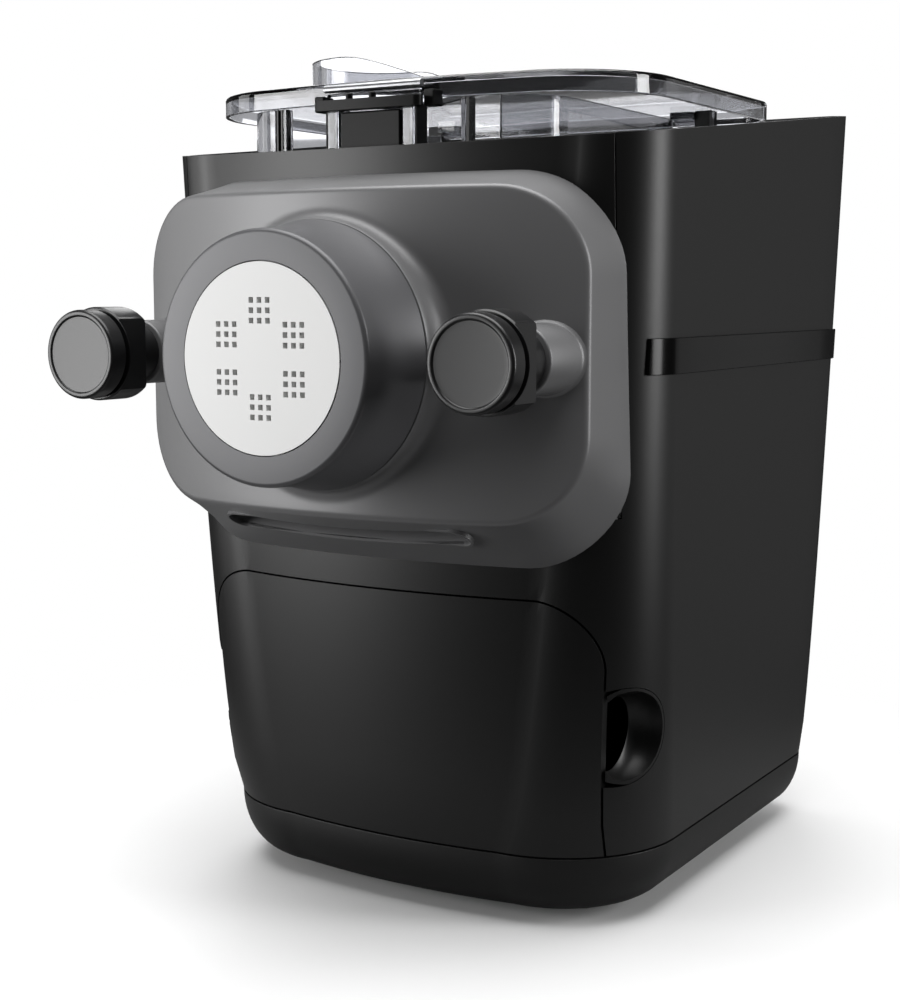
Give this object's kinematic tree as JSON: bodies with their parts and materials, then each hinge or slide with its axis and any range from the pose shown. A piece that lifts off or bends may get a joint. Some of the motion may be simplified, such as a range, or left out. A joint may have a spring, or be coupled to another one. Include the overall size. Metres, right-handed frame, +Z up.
{
  "type": "electric pasta maker",
  "caption": "Countertop electric pasta maker: tapered black body, anthracite front panel with nozzle, shaping disc and tightening knobs, clear lidded mixing chamber, gear drive, front drawer.",
  "frame": {"origin": "on the table plane under the middle of the outside box", "axes": "+Z up, -Y toward the front where the nozzle faces, +X toward the right side as seen from the front"},
  "size_m": [0.225, 0.311, 0.3436],
  "materials": {
    "matte_black": "satin moulded black",
    "base_black": "matte moulded black",
    "gloss_black": "gloss black",
    "panel_anthracite": "satin anthracite",
    "knob_black": "semi gloss black",
    "disc_white": "matte white",
    "clear_smoke": "clear smoked plastic",
    "tray_black": "matte moulded black",
    "rubber": "matte",
    "steel": "turned steel",
    "zinc": "plain die cast and sheet metal",
    "gear_white": "natural nylon",
    "board_green": "printed circuit board",
    "brass": "plain"
  },
  "bodies": {
    "housing": {"base_cover": "base_black", "body_shell": "matte_black", "chamber_seal": "rubber", "chassis": "zinc", "control_board": "board_green", "control_panel": "gloss_black", "display_window": "gloss_black", "extrusion_tube": "panel_anthracite", "finger_cup_left": "matte_black", "finger_cup_right": "matte_black", "foot_front_left": "rubber", "foot_front_right": "rubber", "foot_rear_left": "rubber", "foot_rear_right": "rubber", "front_fascia": "matte_black", "front_panel": "panel_anthracite", "gearbox_housing": "zinc", "inlet_contacts": "brass", "intermediate_pin": "steel", "knob_stud_left": "steel", "knob_stud_right": "steel", "latch_block": "gloss_black", "lid_hinge_pin_left": "steel", "lid_hinge_pin_right": "steel", "load_cell_front_left": "zinc", "load_cell_front_right": "zinc", "load_cell_rear_left": "zinc", "load_cell_rear_right": "zinc", "mixing_chamber": "clear_smoke", "motor": "zinc", "output_bearing": "steel", "power_inlet": "gloss_black", "rear_cover": "matte_black", "shaft_seal": "rubber", "shaping_disc": "disc_white", "side_band": "gloss_black", "stud_nut_left": "steel", "stud_nut_right": "steel", "top_deck": "matte_black"},
    "knob_left": {"knob_left": "knob_black"},
    "knob_right": {"knob_right": "knob_black"},
    "disc_ring": {"disc_ring": "panel_anthracite"},
    "drawer": {"drawer_front": "matte_black", "drawer_tray": "tray_black"},
    "lid": {"lid": "clear_smoke", "latch_pin": "steel"},
    "latch": {"lid_latch": "gloss_black"},
    "drive": {"extrusion_screw": "disc_white", "mixing_paddle": "disc_white", "output_shaft": "steel", "output_gear": "gear_white"},
    "intermediate": {"intermediate_gear": "gear_white"},
    "rotor": {"motor_pinion": "brass", "motor_shaft": "steel", "cooling_fan": "gloss_black"},
    "power_button": {"power_button": "knob_black"},
    "weigh_button": {"weigh_button": "knob_black"},
    "program_button": {"program_button": "knob_black"},
    "start_button": {"start_button": "knob_black"}
  },
  "joints": [
    {"name": "knob_left_turn", "type": "hinge", "parent": "housing", "child": "knob_left", "pos_m": [-0.0853, -0.1555, 0.225], "axis": [0, 1, 0], "continuous": true},
    {"name": "knob_right_turn", "type": "hinge", "parent": "housing", "child": "knob_right", "pos_m": [0.0853, -0.1555, 0.225], "axis": [0, 1, 0], "continuous": true},
    {"name": "disc_ring_turn", "type": "hinge", "parent": "housing", "child": "disc_ring", "pos_m": [0, -0.1555, 0.225], "axis": [0, 1, 0], "continuous": true},
    {"name": "drawer_slide", "type": "slide", "parent": "housing", "child": "drawer", "axis": [0, -1, 0], "range_m": [0, 0.11]},
    {"name": "lid_hinge", "type": "hinge", "parent": "housing", "child": "lid", "pos_m": [0, 0.0775, 0.326], "axis": [-1, 0, 0], "range_deg": [0, 95]},
    {"name": "latch_swing", "type": "hinge", "parent": "lid", "child": "latch", "pos_m": [0, -0.0833, 0.326], "axis": [-1, 0, 0], "range_deg": [0, 35], "stiffness_Nm_per_rad": 0.02, "springref_deg": -11.46},
    {"name": "drive_spin", "type": "hinge", "parent": "housing", "child": "drive", "pos_m": [0, 0.0445, 0.225], "axis": [0, 1, 0], "continuous": true},
    {"name": "intermediate_spin", "type": "hinge", "parent": "housing", "child": "intermediate", "pos_m": [0, 0.0625, 0.1725], "axis": [0, 1, 0], "continuous": true},
    {"name": "rotor_spin", "type": "hinge", "parent": "housing", "child": "rotor", "pos_m": [0, 0.0625, 0.135], "axis": [0, 1, 0], "continuous": true},
    {"name": "power_button_press", "type": "slide", "parent": "housing", "child": "power_button", "axis": [0, 0.1061, -0.9944], "range_m": [0, 0.001], "stiffness_N_per_m": 300, "springref_m": -0.0015},
    {"name": "weigh_button_press", "type": "slide", "parent": "housing", "child": "weigh_button", "axis": [0, 0.1061, -0.9944], "range_m": [0, 0.001], "stiffness_N_per_m": 300, "springref_m": -0.0015},
    {"name": "program_button_press", "type": "slide", "parent": "housing", "child": "program_button", "axis": [0, 0.1061, -0.9944], "range_m": [0, 0.001], "stiffness_N_per_m": 300, "springref_m": -0.0015},
    {"name": "start_button_press", "type": "slide", "parent": "housing", "child": "start_button", "axis": [0, 0.1061, -0.9944], "range_m": [0, 0.001], "stiffness_N_per_m": 300, "springref_m": -0.0015}
  ],
  "couplings": [
    {"joint": "intermediate_spin", "follows": "drive_spin", "ratio": -4},
    {"joint": "rotor_spin", "follows": "drive_spin", "ratio": 16}
  ]
}
